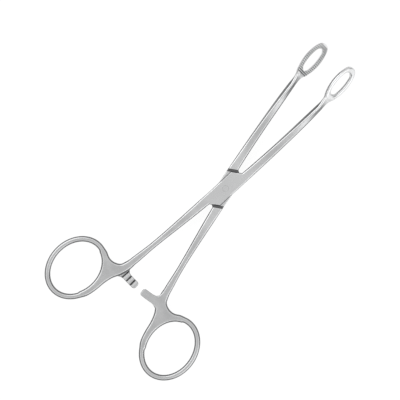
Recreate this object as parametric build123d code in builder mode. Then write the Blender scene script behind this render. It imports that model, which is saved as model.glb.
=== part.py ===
from build123d import *
import math
import os

# Straight sponge holding forceps with a box lock, finger rings, a ratchet and oval jaws.
# The instrument lies flat and slightly open. +Y runs from the pin to the jaws, +X is its
# right side and +Z is up. The origin is on the pin's axis, in the box's lower flat face.
# Millimetres and degrees.

os.makedirs("parts", exist_ok=True)

# How far the instrument lies open, and how far the halves turn to meet
close_angle = 10.2
half_lean = 6.2

# Finger rings: a bar bent to an oval
ring_reach = 77.2
ring_spread = 30.2
ring_hole_length = 28.5
ring_hole_width = 22.4
ring_splay = 4.5
ring_bar_width = 2.8
ring_bar_height = 3.2

# Yoke, where ring, shank and ratchet arm meet, placed from the ring's inner side and top
yoke_thick = 3.0
yoke_edge = 0.9
valley_inwards = 2.2
valley_depth = 2.9
valley_ring_angle = 118
heel_inwards = 2.6
heel_depth = 9.85
heel_ring_angle = 196

# Handle shank, from the box to the yoke, bowed slightly inwards
handle_root_width = 4.6
handle_waist_width = 2.95
handle_end_width = 3.7
handle_root_thick = 4.7
handle_waist_thick = 3.6
handle_end_thick = 3.2
handle_start_spread = 2.95
handle_end_inwards = 5.1
handle_end_lead = 3.35
handle_waist_share = 0.75
handle_bow = 0.25
handle_sink = 3.6
shank_corner = 1.0

# Ratchet arms, bent on a circle about the pin, one over the other
ratchet_depth = 4.75
ratchet_width = 3.9
ratchet_shoulder_angle = 9.6
ratchet_root_angle = 6.9
ratchet_tip_angle = 1.5
ratchet_gap = 0.12
ratchet_corner = 1.2
ratchet_fillet = 2.4
tooth_count = 3
tooth_first_angle = 3.75
tooth_pitch_angle = 2.37
tooth_depth = 0.7
tooth_land = 0.3

# Box lock
box_width = 8.7
box_thick = 5.0
box_edge = 0.35
cheek_corner = 7.8
cheek_end = 10.4
cheek_end_across = 0.95
crotch = 11.5
crotch_across = 0.4
web_thick = 2.0
web_clearance = 0.06
slot_end_clearance = 0.15
shoulder_gap = 1.1

# Joint pin, ground flush with the cheeks
pin_diameter = 3.0
pin_clearance = 0.04

# Jaw shank, from the box to the ring of the jaw
jaw_root_width = 4.6
jaw_neck_width = 2.95
jaw_root_thick = 4.7
jaw_neck_thick = 2.8
jaw_start_spread = 3.05
jaw_bow = 0.4
jaw_neck_lead = 6.05
jaw_neck_inset = 0.4
jaw_flare_width = 3.9
jaw_flare_thick = 2.4
jaw_sink = 1.8

# Jaw: an oval ring with a flat, serrated gripping face, turned about its own length
jaw_reach = 76.0
jaw_spread = 9.15
jaw_turn = 45.0
jaw_length = 19.9
jaw_width = 10.7
jaw_side_radius = 17.7
jaw_thick = 1.85
jaw_hole_length = 13.7
jaw_hole_width = 6.7
jaw_hole_side_radius = 19.0
jaw_rounding = 0.75
serration_pitch = 1.0
serration_depth = 0.3
serration_margin = 1.4

mid_height = box_thick / 2
jaw_base = jaw_reach - jaw_length / 2
ring_side = ring_spread - ring_hole_width / 2 - ring_bar_width
ring_top = ring_reach - ring_hole_length / 2 - ring_bar_width
ratchet_radius = ring_top + ratchet_depth
handle_end_reach = ring_top - handle_end_lead
handle_end_spread = ring_side - handle_end_inwards


def own_axis_point(across, along):
    """A point of the box's plan, from the leaning axis of the half to the frame."""
    lean = math.radians(half_lean)
    x = across * math.cos(lean) + along * math.sin(lean)
    y = along * math.cos(lean) - across * math.sin(lean)
    return (x, y)


def eased(start, end, share):
    """A value between two others, level at both ends."""
    return start + (end - start) * share * share * (3 - 2 * share)


def bowed(start, end, bow, share):
    """A value on the way from start to end, with a bow that is highest half-way."""
    return start + (end - start) * share + bow * 4 * share * (1 - share)


def shank(stations):
    """A shank lofted through rounded sections: reach, spread, width, thickness, corner, turn."""
    with BuildPart() as bar:
        for reach, spread, width, thick, corner, turn in stations:
            turned = math.radians(turn)
            across = (math.cos(turned), 0, -math.sin(turned))
            section = Plane(origin=(spread, reach, mid_height), x_dir=across, z_dir=(0, -1, 0))
            with BuildSketch(section):
                RectangleRounded(width, thick, corner)
        loft()
    return bar.part


def handle_station(share):
    """A section of the handle's shank, at a share of the way from the box to the yoke."""
    reach = bowed(cheek_corner, handle_end_reach, 0, share)
    spread = bowed(handle_start_spread, handle_end_spread, -handle_bow, share)
    if share < handle_waist_share:
        part_way = share / handle_waist_share
        width = eased(handle_root_width, handle_waist_width, part_way)
        thick = eased(handle_root_thick, handle_waist_thick, part_way)
    else:
        part_way = (share - handle_waist_share) / (1 - handle_waist_share)
        width = eased(handle_waist_width, handle_end_width, part_way)
        thick = eased(handle_waist_thick, handle_end_thick, part_way)
    return (-reach, -spread, width, thick, shank_corner, 0)


def handle_shank():
    """The handle's shank, from the box to the yoke, with its end sunk into the yoke."""
    end_slope = (handle_end_spread - handle_start_spread) / (handle_end_reach - cheek_corner)
    sunk = (
        -handle_end_reach - handle_sink,
        -handle_end_spread - handle_sink * end_slope,
        handle_end_width - yoke_edge,
        yoke_thick - yoke_edge,
        yoke_edge,
        0,
    )
    return shank([handle_station(quarter / 4) for quarter in range(5)] + [sunk])


def jaw_station(share):
    """A section of the jaw's shank, at a share of the way from the box to the neck."""
    return (
        bowed(cheek_corner, jaw_base - jaw_neck_lead, 0, share),
        bowed(jaw_start_spread, jaw_spread - jaw_neck_inset, jaw_bow, share),
        bowed(jaw_root_width, jaw_neck_width, 0, share),
        bowed(jaw_root_thick, jaw_neck_thick, 0, share),
        shank_corner,
        jaw_turn * share ** 3,
    )


def jaw_shank():
    """The jaw's shank, slightly bowed, turning and flattening into the base of the jaw."""
    flare = (
        jaw_base - jaw_neck_lead / 2 + jaw_sink / 2,
        jaw_spread - jaw_neck_inset / 3,
        jaw_flare_width,
        jaw_flare_thick,
        shank_corner,
        jaw_turn,
    )
    sunk = (
        jaw_base + jaw_sink,
        jaw_spread,
        jaw_hole_width,
        jaw_thick - serration_depth / 2,
        jaw_rounding,
        jaw_turn,
    )
    return shank([jaw_station(quarter / 4) for quarter in range(5)] + [flare, sunk])


def ring_centreline_point(angle):
    """A point of the left ring's centreline, at an angle round it from its outer side."""
    splay = math.radians(ring_splay)
    u = (ring_hole_width + ring_bar_width) / 2 * math.cos(math.radians(angle))
    v = (ring_hole_length + ring_bar_width) / 2 * math.sin(math.radians(angle))
    x = ring_spread + u * math.cos(splay) - v * math.sin(splay)
    y = -ring_reach + u * math.sin(splay) + v * math.cos(splay)
    return (-x, y)


def ratchet_point(radius, angle):
    """A point of the left ratchet arm, at an angle about the pin from the mid-line."""
    turned = math.radians(angle)
    return (-radius * math.sin(turned), -radius * math.cos(turned))


def finger_ring():
    """The finger ring, a bar of oval section swept around the hole."""
    plane = Plane(
        origin=(-ring_spread, -ring_reach, mid_height),
        x_dir=(math.cos(math.radians(ring_splay)), -math.sin(math.radians(ring_splay)), 0),
        z_dir=(0, 0, 1),
    )
    half_width = (ring_hole_width + ring_bar_width) / 2
    half_length = (ring_hole_length + ring_bar_width) / 2
    with BuildPart() as ring:
        with BuildLine(plane) as path:
            for start in (0, 90, 180, 270):
                EllipticalCenterArc((0, 0), half_width, half_length, start, arc_size=90)
        with BuildSketch(Plane(origin=path.line @ 0, x_dir=plane.x_dir, z_dir=path.line % 0)):
            Ellipse(ring_bar_width / 2, ring_bar_height / 2)
        sweep(path=path.line)
    return ring.part


def yoke():
    """The plate between ring, shank and ratchet arm, with a rounded valley beside the ring."""
    outer_edge = (-handle_end_spread - handle_end_width / 2, -handle_end_reach)
    inner_edge = (-handle_end_spread + handle_end_width / 2, -handle_end_reach)
    valley = (-ring_side - valley_inwards, -ring_top - valley_depth)
    shoulder = ratchet_point(ratchet_radius, ratchet_shoulder_angle)
    heel = (-ring_side + heel_inwards, -ring_top - heel_depth)
    downwards = (handle_start_spread - handle_end_spread, cheek_corner - handle_end_reach)
    with BuildPart() as plate:
        with BuildSketch(Plane.XY.offset(mid_height)):
            with BuildLine():
                outer = Spline(
                    outer_edge,
                    valley,
                    ring_centreline_point(valley_ring_angle),
                    tangents=(downwards, (-1, 0)),
                )
                inner = Spline(
                    ring_centreline_point(heel_ring_angle),
                    heel,
                    shoulder,
                    inner_edge,
                )
                Polyline(outer @ 1, (-ring_spread, -ring_reach), inner @ 0)
                Line(inner @ 1, outer @ 0)
            make_face()
        extrude(amount=yoke_thick / 2, both=True)
        fillet(plate.edges().filter_by(GeomType.LINE, reverse=True).group_by(Axis.Z)[-1], yoke_edge)
        fillet(plate.edges().filter_by(GeomType.LINE, reverse=True).group_by(Axis.Z)[0], yoke_edge)
        with BuildSketch(Plane.XY.offset(mid_height)):
            with Locations(Location((-ring_spread, -ring_reach, 0), (0, 0, -ring_splay))):
                Ellipse(
                    (ring_hole_width + ring_bar_width) / 2,
                    (ring_hole_length + ring_bar_width) / 2,
                )
        extrude(amount=yoke_thick, both=True, mode=Mode.SUBTRACT)
    return plate.part


def rounding_point(start, end):
    """The middle of a quarter turn that leaves its start downwards and ends sideways."""
    across = start[0] + (end[0] - start[0]) * (1 - math.sqrt(0.5))
    down = start[1] + (end[1] - start[1]) * math.sqrt(0.5)
    return (across, down)


def ratchet_arm():
    """The lower ratchet arm, half the yoke thick, with saw teeth on its upper face."""
    inner = ratchet_radius - ratchet_width / 2
    outer = ratchet_radius + ratchet_width / 2
    shank_side = (-handle_end_spread + handle_end_width / 2, -handle_end_reach)
    shank_foot = (shank_side[0] - yoke_edge / 4, -inner + ratchet_fillet)
    upper_root = ratchet_point(inner, ratchet_root_angle)
    lower_root = ratchet_point(outer, ratchet_root_angle)
    heel = (-ring_side + heel_inwards, -ring_top - heel_depth)
    core = (-ring_side + heel_inwards / 2, -ratchet_radius)
    corner_angle = math.degrees(ratchet_corner / ratchet_radius)
    root = 270 - ratchet_shoulder_angle
    tip = 270 - ratchet_tip_angle - corner_angle
    crest = mid_height - ratchet_gap / 2
    pitch = math.radians(tooth_pitch_angle) * ratchet_radius
    with BuildPart() as arm:
        with BuildSketch(Plane.XY.offset(crest)):
            with BuildLine():
                Polyline(core, shank_side, shank_foot)
                ThreePointArc(shank_foot, rounding_point(shank_foot, upper_root), upper_root)
                Line(upper_root, lower_root)
                ThreePointArc(lower_root, rounding_point(heel, lower_root), heel)
                Line(heel, core)
            make_face()
        extrude(amount=-(yoke_thick - ratchet_gap) / 2)
        with BuildSketch(Plane.XY.offset(crest)):
            with BuildLine():
                upper = CenterArc((0, 0), inner + ratchet_corner, root, tip - root)
                lower = CenterArc((0, 0), outer - ratchet_corner, root, tip - root)
                Line(upper @ 0, lower @ 0)
                Line(upper @ 1, lower @ 1)
            make_face()
            offset(amount=ratchet_corner, kind=Kind.ARC)
        extrude(amount=-(yoke_thick - ratchet_gap) / 2)
        for tooth in range(tooth_count):
            angle = math.radians(270 - tooth_first_angle - tooth * tooth_pitch_angle)
            outwards = (math.cos(angle), math.sin(angle), 0)
            to_tip = (-math.sin(angle), math.cos(angle), 0)
            middle = (ratchet_radius * outwards[0], ratchet_radius * outwards[1], crest)
            with BuildSketch(Plane(origin=middle, x_dir=to_tip, z_dir=outwards)):
                Polygon((0, 0), (0, -tooth_depth), (tooth_land - pitch, 0), align=None)
            extrude(amount=ratchet_width, both=True, mode=Mode.SUBTRACT)
    return arm.part


def box_block():
    """The thick middle of a half, with slanting ends, before its slot or web is cut."""
    side = box_width / 2
    end = [(-side, cheek_corner), (-cheek_end_across, cheek_end), (crotch_across, crotch)]
    end.append((side, crotch))
    plan = end + [(-across, -along) for across, along in end]
    with BuildPart() as block:
        with BuildSketch(Plane.XY.offset(mid_height)):
            with BuildLine():
                Polyline([own_axis_point(across, along) for across, along in plan], close=True)
            make_face()
        extrude(amount=box_thick / 2, both=True)
        fillet(block.faces().sort_by(Axis.Z)[-1].edges(), box_edge)
        fillet(block.faces().sort_by(Axis.Z)[0].edges(), box_edge)
    return block.part


def bowed_oval(length, width, side_radius):
    """The outline of an oval of two large side arcs and two tangent end arcs."""
    a = width / 2
    b = length / 2
    end_radius = (2 * side_radius * a - a * a - b * b) / (2 * (side_radius - b))
    side_centre = side_radius - a
    end_centre = b - end_radius
    reach = side_radius / (side_radius - end_radius)
    x = reach * side_centre - side_centre
    y = reach * end_centre
    with BuildLine(Plane.XY) as outline:
        ThreePointArc((x, -y), (a, 0), (x, y))
        ThreePointArc((x, y), (0, b), (-x, y))
        ThreePointArc((-x, y), (-a, 0), (-x, -y))
        ThreePointArc((-x, -y), (0, -b), (x, -y))
    return outline.edges()


def jaw_ring():
    """The oval ring of the jaw: flat serrated inner face, rounded outer face."""
    turned = math.radians(jaw_turn)
    outwards = (math.sin(turned), 0, math.cos(turned))
    across = Vector(math.cos(turned), 0, -math.sin(turned))
    centre = Vector(jaw_spread, jaw_reach, mid_height)
    grip = centre - Vector(*outwards) * (jaw_thick / 2)
    plane = Plane(origin=grip, x_dir=-across, z_dir=outwards)
    with BuildPart() as ring:
        with BuildSketch(plane):
            make_face(bowed_oval(jaw_length, jaw_width, jaw_side_radius))
        extrude(amount=jaw_thick)
        with BuildSketch(plane):
            make_face(bowed_oval(jaw_hole_length, jaw_hole_width, jaw_hole_side_radius))
        extrude(amount=jaw_thick, mode=Mode.SUBTRACT)
        outer_face = ring.faces().sort_by(Axis(grip, outwards))[-1]
        fillet(outer_face.edges(), jaw_rounding)
        count = int((jaw_length - 2 * serration_margin) / serration_pitch)
        for groove in range(count + 1):
            along = (groove - count / 2) * serration_pitch
            with BuildSketch(Plane(origin=grip + Vector(0, along, 0), x_dir=(0, 1, 0), z_dir=across)):
                half = serration_depth
                Polygon((-half, 0), (half, 0), (0, serration_depth), align=None)
            extrude(amount=jaw_width, both=True, mode=Mode.SUBTRACT)
    return ring.part


def forging():
    """One half as forged: both halves are alike, and the other is the same one turned over."""
    with BuildPart() as blank:
        add(box_block())
        add(handle_shank())
        add(yoke())
        add(finger_ring())
        add(ratchet_arm())
        add(jaw_shank())
        add(jaw_ring())
    return blank.part


blank = forging()
end_slant = math.degrees(math.atan2(cheek_end - cheek_corner, box_width / 2 - cheek_end_across))
end_distance = cheek_corner * math.cos(math.radians(end_slant))
end_distance += box_width / 2 * math.sin(math.radians(end_slant))

# Female half: the slot for the web, closed at both ends by slanting walls
slot_normal = 90 - end_slant + half_lean - close_angle
slot_length = 2 * (end_distance + slot_end_clearance)

with BuildPart() as female_half:
    add(blank)
    with BuildSketch(Plane.XY.offset(mid_height)):
        Rectangle(slot_length, 4 * box_width, rotation=slot_normal)
    extrude(amount=web_thick / 2 + web_clearance, both=True, mode=Mode.SUBTRACT)
    with Locations((0, 0, mid_height)):
        Cylinder(pin_diameter / 2, 2 * box_thick, mode=Mode.SUBTRACT)
female_half.part.label = "female_half"
export_step(female_half.part, "parts/female_half.step")

# Male half: turned over, thinned to a web between two slanting shoulders
turned_blank = blank.rotate(Axis((0, 0, mid_height), (0, 1, 0)), 180)
shoulder_normal = 90 + end_slant - half_lean
shoulder_length = 2 * (end_distance + shoulder_gap)

with BuildPart() as male_half:
    add(turned_blank)
    for side in (1, -1):
        with BuildSketch(Plane.XY.offset(mid_height + side * web_thick / 2)):
            Rectangle(shoulder_length, 4 * box_width, rotation=shoulder_normal)
        extrude(amount=side * box_thick, mode=Mode.SUBTRACT)
    with Locations((0, 0, mid_height)):
        Cylinder(pin_diameter / 2 + pin_clearance, 2 * box_thick, mode=Mode.SUBTRACT)
male_half.part.label = "male_half"
export_step(male_half.part, "parts/male_half.step")

# Joint pin, pressed into the cheeks, running in the web
with BuildPart() as joint_pin:
    with BuildSketch():
        Circle(pin_diameter / 2)
    extrude(amount=box_thick)
joint_pin.part.label = "joint_pin"
export_step(joint_pin.part, "parts/joint_pin.step")
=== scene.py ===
import logging
import math
from collections.abc import Callable
from dataclasses import dataclass, replace
from enum import Enum
from itertools import product

import bmesh
import bpy
import numpy as np
from mathutils import Matrix, Vector


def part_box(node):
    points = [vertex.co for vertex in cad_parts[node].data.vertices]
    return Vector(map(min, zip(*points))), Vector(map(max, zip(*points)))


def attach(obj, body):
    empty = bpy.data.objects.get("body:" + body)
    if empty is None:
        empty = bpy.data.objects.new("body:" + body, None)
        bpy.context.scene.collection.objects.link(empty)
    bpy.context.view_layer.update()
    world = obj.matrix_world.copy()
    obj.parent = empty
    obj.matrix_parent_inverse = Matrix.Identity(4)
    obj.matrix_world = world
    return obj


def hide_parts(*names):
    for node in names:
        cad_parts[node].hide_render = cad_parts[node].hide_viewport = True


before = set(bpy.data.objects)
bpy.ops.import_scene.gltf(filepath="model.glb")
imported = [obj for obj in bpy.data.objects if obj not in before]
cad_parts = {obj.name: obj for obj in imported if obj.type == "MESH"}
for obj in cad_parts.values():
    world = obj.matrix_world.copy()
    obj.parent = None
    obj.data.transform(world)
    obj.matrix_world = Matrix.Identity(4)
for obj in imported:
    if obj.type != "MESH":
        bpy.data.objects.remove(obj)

# A sponge holding forceps in satin steel, lying open on a white table.
# Shapes are given in millimetres and written to the meshes in metres.
# The blank of a half has its handle on -X and its jaw on +X. The other half is turned over.
# MM is a millimetre in metres, and MID is the height of the instrument's middle plane.
# NEAREST_ROUNDS is how often the nearest place on a ring is bettered. TINY keeps a division safe.

MM = 0.001
MID = 2.5
NEAREST_ROUNDS = 6
TINY = 1e-9
log = logging.getLogger("forceps")


class Half(Enum):
    """The two halves of the instrument."""

    FEMALE = "female"
    MALE = "male"


# Distances to shapes


def rounded(across: np.ndarray, height: np.ndarray, radius: float) -> np.ndarray:
    """The distance to a bar with rounded edges.

    Args:
        across: Distance past the bar's side, negative inside it.
        height: Distance past the bar's top, negative inside it.
        radius: Radius of the edges.

    Returns:
        The distance to the rounded bar.
    """
    a = across + radius
    b = height + radius
    outside = np.hypot(np.maximum(a, 0), np.maximum(b, 0))
    return outside + np.minimum(np.maximum(a, b), 0) - radius


def blended(first: np.ndarray, second: np.ndarray, width: float) -> np.ndarray:
    """The union of two shapes with a soft fillet.

    Args:
        first: Distance to the first shape.
        second: Distance to the second shape.
        width: Width over which the two flow together.

    Returns:
        The distance to the filleted union.
    """
    mix = np.maximum(width - np.abs(first - second), 0) / width
    return np.minimum(first, second) - mix * mix * width / 4


def cut(shape: np.ndarray, tool: np.ndarray, radius: float) -> np.ndarray:
    """A shape with another one taken out of it and its new edges rounded.

    Args:
        shape: Distance to the shape.
        tool: Distance to what is taken out.
        radius: Radius of the new edges.

    Returns:
        The distance to what is left.
    """
    return -blended(-shape, tool, radius)


def outline_distance(x: np.ndarray, y: np.ndarray, points: np.ndarray) -> np.ndarray:
    """The distance to a closed outline in the plan, negative inside it.

    Args:
        x: Places across.
        y: Places along.
        points: Corners of the outline in order.

    Returns:
        The signed distance at each place.
    """
    best = np.full(np.broadcast(x, y).shape, np.inf)
    inside = np.zeros(best.shape, bool)
    for (ax, ay), (bx, by) in zip(points, np.roll(points, -1, axis=0)):
        ex, ey = bx - ax, by - ay
        share = ((x - ax) * ex + (y - ay) * ey) / (ex * ex + ey * ey)
        share = np.clip(share, 0, 1)
        best = np.minimum(best, np.hypot(x - ax - share * ex, y - ay - share * ey))
        if ay != by:
            crosses = (ay > y) != (by > y)
            inside ^= crosses & (x < ax + (y - ay) * ex / ey)
    return np.where(inside, -best, best)


def smooth_line(points: list[tuple[float, float]], per_span: int = 10) -> np.ndarray:
    """A smooth line through points.

    Args:
        points: Points that the line goes through.
        per_span: Pieces between one point and the next.

    Returns:
        The line's points.
    """
    p = np.array([points[0], *points, points[-1]], float)
    t = np.linspace(0, 1, per_span, endpoint=False)[:, None]
    spans = []
    for a, b, c, d in zip(p, p[1:], p[2:], p[3:]):
        bend = (2 * a - 5 * b + 4 * c - d) * t * t + (3 * b - a - 3 * c + d) * t ** 3
        spans.append(b + 0.5 * ((c - a) * t + bend))
    return np.vstack([*spans, p[-1:]])


def ramp(value: np.ndarray, start: float, run: float) -> np.ndarray:
    """How much of a run a value has covered from the run's start, from 0 to 1."""
    return np.clip((value - start) / run, 0, 1)


def eased(start: float, end: float, share: np.ndarray) -> np.ndarray:
    """A value between two others, level at both ends."""
    s = np.clip(share, 0, 1)
    return start + (end - start) * s * s * (3 - 2 * s)


# Pieces of a half


@dataclass(frozen=True)
class FingerRing:
    """The finger ring, a bar of oval section bent round the hole."""

    reach: float = 77.2
    spread: float = 30.2
    hole_length: float = 28.5
    hole_width: float = 22.4
    splay: float = 4.5
    bar_width: float = 2.79
    bar_height: float = 3.2
    corner: float = 1.2

    def centreline_point(self, angle: float) -> tuple[float, float]:
        """The place on the ring's centreline at an angle.

        Args:
            angle: Angle in degrees from the ring's outer side.

        Returns:
            The place across and along.
        """
        splay, turn = math.radians(self.splay), math.radians(angle)
        u = (self.hole_width + self.bar_width) / 2 * math.cos(turn)
        v = (self.hole_length + self.bar_width) / 2 * math.sin(turn)
        x = self.spread + u * math.cos(splay) - v * math.sin(splay)
        return (-x, -self.reach + u * math.sin(splay) + v * math.cos(splay))

    def edge_point(self, angle: float, inset: float) -> tuple[float, float]:
        """The place a little inside the ring's outer edge, at an angle in degrees."""
        wider = replace(self, bar_width=2 * (self.bar_width - inset))
        return wider.centreline_point(angle)

    def from_centreline(self, x: np.ndarray, y: np.ndarray) -> np.ndarray:
        """The distance in the plan to the ring's centreline, negative inside it.

        Args:
            x: Places across.
            y: Places along.

        Returns:
            The signed distance at each place.
        """
        splay = math.radians(self.splay)
        a = (self.hole_width + self.bar_width) / 2
        b = (self.hole_length + self.bar_width) / 2
        dx, dy = x + self.spread, y + self.reach
        u = dx * math.cos(splay) - dy * math.sin(splay)
        v = dx * math.sin(splay) + dy * math.cos(splay)
        turn = np.arctan2(v / b, u / a)
        for _ in range(NEAREST_ROUNDS):
            cos, sin = np.cos(turn), np.sin(turn)
            off = (a * cos - u) * -a * sin + (b * sin - v) * b * cos
            slope = a * a * sin * sin + b * b * cos * cos
            slope += (a * cos - u) * -a * cos - (b * sin - v) * b * sin
            turn -= off / np.maximum(slope, 1.0)
        far = np.hypot(u - a * np.cos(turn), v - b * np.sin(turn))
        return np.where((u / a) ** 2 + (v / b) ** 2 < 1, -far, far)

    def distance(self, x: np.ndarray, y: np.ndarray, z: np.ndarray) -> np.ndarray:
        """The distance to the ring's surface."""
        away = np.abs(self.from_centreline(x, y)) - self.bar_width / 2
        return rounded(away, np.abs(z) - self.bar_height / 2, self.corner)


@dataclass(frozen=True)
class HandleShank:
    """The handle's shank, from the box to the yoke."""

    start: float = 7.8
    start_spread: float = 2.95
    level_end: float = 11.5
    end: float = 56.8
    end_spread: float = 11.1
    bow: float = 0.25
    root_width: float = 4.6
    waist_width: float = 2.95
    end_width: float = 3.7
    root_thick: float = 5.0
    waist_thick: float = 3.6
    end_thick: float = 3.2
    waist_share: float = 0.75
    sink: float = 4.0
    root_sink: float = 5.0
    root_corner: float = 0.65
    corner: float = 0.95
    corner_run: float = 9.0

    def thickness(self, y: np.ndarray) -> np.ndarray:
        """The thickness of the shank along its length, and of the yoke past its end.

        Args:
            y: Places along.

        Returns:
            The thickness at each place.
        """
        share = (-y - self.level_end) / (self.end - self.level_end)
        to_end = (share - self.waist_share) / (1 - self.waist_share)
        thick = eased(self.root_thick, self.waist_thick, share / self.waist_share)
        return thick + eased(0, self.end_thick - self.waist_thick, to_end)

    def plan(self, x: np.ndarray, y: np.ndarray) -> np.ndarray:
        """The distance in the plan to the shank's sides.

        Args:
            x: Places across.
            y: Places along.

        Returns:
            The signed distance at each place.
        """
        length = self.end - self.start
        share = (-y - self.start) / length
        spread = self.start_spread + (self.end_spread - self.start_spread) * share
        spread = spread - self.bow * 4 * share * (1 - share)
        to_end = (share - self.waist_share) / (1 - self.waist_share)
        width = eased(self.root_width, self.waist_width, share / self.waist_share)
        width = width + eased(0, self.end_width - self.waist_width, to_end)
        slope = (self.end_spread - self.start_spread) / length
        return np.abs(x + spread) / math.hypot(1, slope) - width / 2

    def distance(self, x: np.ndarray, y: np.ndarray, z: np.ndarray) -> np.ndarray:
        """The distance to the shank's surface.

        Args:
            x: Places across.
            y: Places along.
            z: Places in height, from the middle.

        Returns:
            The signed distance at each place.
        """
        corner = eased(self.root_corner, self.corner, (-y - self.start) / self.corner_run)
        bar = rounded(self.plan(x, y), np.abs(z) - self.thickness(y) / 2, corner)
        ends = np.maximum(y + self.start - self.root_sink, -y - self.end - self.sink)
        return np.maximum(bar, ends)


@dataclass(frozen=True)
class Yoke:
    """The plate between ring, shank and ratchet arm, with a rounded valley beside the ring."""

    ring: FingerRing
    shank: HandleShank
    edge: float = 1.2
    flow: float = 1.6
    valley_inwards: float = 2.2
    valley_depth: float = 2.9
    shoulder: tuple[float, float] = (-10.82, -64.0)

    def outline(self) -> np.ndarray:
        """The plate's outline in the plan.

        Its outer side runs from the shank down to the ring. Its inner side runs from the ring
        up past the ratchet arm to the shank.

        Returns:
            The outline's corners in order.
        """
        ring = self.ring
        side = ring.spread - ring.hole_width / 2 - ring.bar_width
        top = ring.reach - ring.hole_length / 2 - ring.bar_width
        x, y = self.shank.end_spread, -self.shank.end
        half = self.shank.end_width / 2
        valley = (-side - self.valley_inwards, -top - self.valley_depth)
        outer = smooth_line([
            (-x - half, y),
            (-x - half - 0.85, y - 2.4),
            (-x - half - 1.75, y - 4.4),
            (valley[0] + 2.3, valley[1] + 0.75),
            valley,
            (valley[0] - 2.7, valley[1] + 0.1),
            ring.edge_point(117, -0.06),
            ring.edge_point(110, 0.25),
            ring.centreline_point(103),
        ])
        inner = smooth_line([
            ring.centreline_point(212),
            ring.edge_point(204, 0.25),
            ring.edge_point(196, -0.03),
            (-side + 0.3, -top - 18.75),
            (-side + 1.35, -top - 13.85),
            (-side + 2.0, -top - 11.35),
            (-side + 2.9, -top - 8.95),
            (-side + 3.9, -top - 7.2),
            self.shoulder,
            (-x + half - 0.35, y - 3.4),
            (-x + half, y),
        ])
        return np.vstack([outer, [(-ring.spread + 4, -ring.reach)], inner])

    def plan(self, x: np.ndarray, y: np.ndarray) -> np.ndarray:
        """The distance in the plan to the plate's outline, flowing into the ring's.

        Args:
            x: Places across.
            y: Places along.

        Returns:
            The signed distance at each place.
        """
        across = self.ring.from_centreline(x, y)
        bar = self.ring.bar_width / 2
        plate = np.maximum(outline_distance(x, y, self.outline()), -across - bar)
        return blended(plate, np.abs(across) - bar, self.flow)

    def distance(self, x: np.ndarray, y: np.ndarray, z: np.ndarray) -> np.ndarray:
        """The distance to the plate's surface."""
        height = np.abs(z) - self.shank.thickness(y) / 2
        return rounded(self.plan(x, y), height, self.edge)


@dataclass(frozen=True)
class RatchetArm:
    """The ratchet arm, bent on a circle about the pin, half as thick as the yoke."""

    yoke: Yoke
    shank: HandleShank
    radius: float = 64.9
    width: float = 3.9
    root_angle: float = 12.0
    tip_angle: float = 1.5
    gap: float = 0.12
    thick: float = 1.54
    edge: float = 0.35
    foot_edge: float = 1.5
    foot_inset: float = 0.35
    foot_angle: float = 9.0
    foot_run: float = 2.5
    corner: float = 1.35
    fillet: float = 3.6
    first_angle: float = 3.75
    pitch_angle: float = 2.37
    humps: int = 3
    hump_height: float = 0.3

    def distance(self, x: np.ndarray, y: np.ndarray, z: np.ndarray) -> np.ndarray:
        """The distance to the arm's surface.

        Args:
            x: Places across.
            y: Places along.
            z: Places in height, from the middle.

        Returns:
            The signed distance at each place.
        """
        far = np.hypot(x, y)
        angle = np.arctan2(-x, -y)
        beside = np.abs(far - self.radius) - self.width / 2
        middle = math.radians(self.root_angle + self.tip_angle) / 2
        half = math.radians(self.root_angle - self.tip_angle) / 2
        ends = (np.abs(angle - middle) - half) * self.radius
        plan = rounded(beside, ends, self.corner)
        shank = np.maximum(self.shank.plan(x, y), -y - self.shank.end - self.shank.sink)
        foot = np.minimum(self.yoke.plan(x, y), shank) + self.foot_inset
        plan = blended(plan, foot, self.fillet)
        degrees = np.degrees(angle)
        edge = eased(self.edge, self.foot_edge, (degrees - self.foot_angle) / self.foot_run)
        steps = (degrees - self.first_angle) / self.pitch_angle
        hump = np.where((steps > -1) & (steps < self.humps), steps % 1, 0) ** 2
        low = -z - self.gap / 2 - self.thick
        high = z + self.gap / 2 + self.hump_height * hump
        return rounded(plan, np.maximum(low, high), edge)


@dataclass(frozen=True)
class BoxBlock:
    """The thick middle of a half, with slanting ends."""

    width: float = 8.7
    thick: float = 5.0
    edge: float = 0.65
    lean: float = 6.2
    corner: float = 7.8
    end: float = 10.4
    end_across: float = 0.95
    crotch: float = 11.5
    crotch_across: float = 0.4

    def plan_point(self, across: float, along: float) -> tuple[float, float]:
        """A point of the plan, brought from the box's leaning axis to the half's own axes.

        Args:
            across: Place across the box.
            along: Place along it.

        Returns:
            The place across and along.
        """
        lean = math.radians(self.lean)
        x = across * math.cos(lean) + along * math.sin(lean)
        return (x, along * math.cos(lean) - across * math.sin(lean))

    def outline(self) -> np.ndarray:
        """The block's outline in the plan.

        Returns:
            The outline's corners in order.
        """
        side = self.width / 2
        end = [(-side, self.corner), (-self.end_across, self.end)]
        end += [(self.crotch_across, self.crotch), (side, self.crotch)]
        both = end + [(-across, -along) for across, along in end]
        return np.array([self.plan_point(*p) for p in both])

    def slant(self) -> float:
        """The slant of the cheeks' ends in degrees."""
        side = self.width / 2 - self.end_across
        return math.degrees(math.atan2(self.end - self.corner, side))

    def end_distance(self) -> float:
        """The distance from the pin to the cheeks' slanting ends."""
        slant = math.radians(self.slant())
        return self.corner * math.cos(slant) + self.width / 2 * math.sin(slant)

    def distance(self, x: np.ndarray, y: np.ndarray, z: np.ndarray) -> np.ndarray:
        """The distance to the block's surface."""
        plan = outline_distance(x, y, self.outline())
        return rounded(plan, np.abs(z) - self.thick / 2, self.edge)


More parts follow.
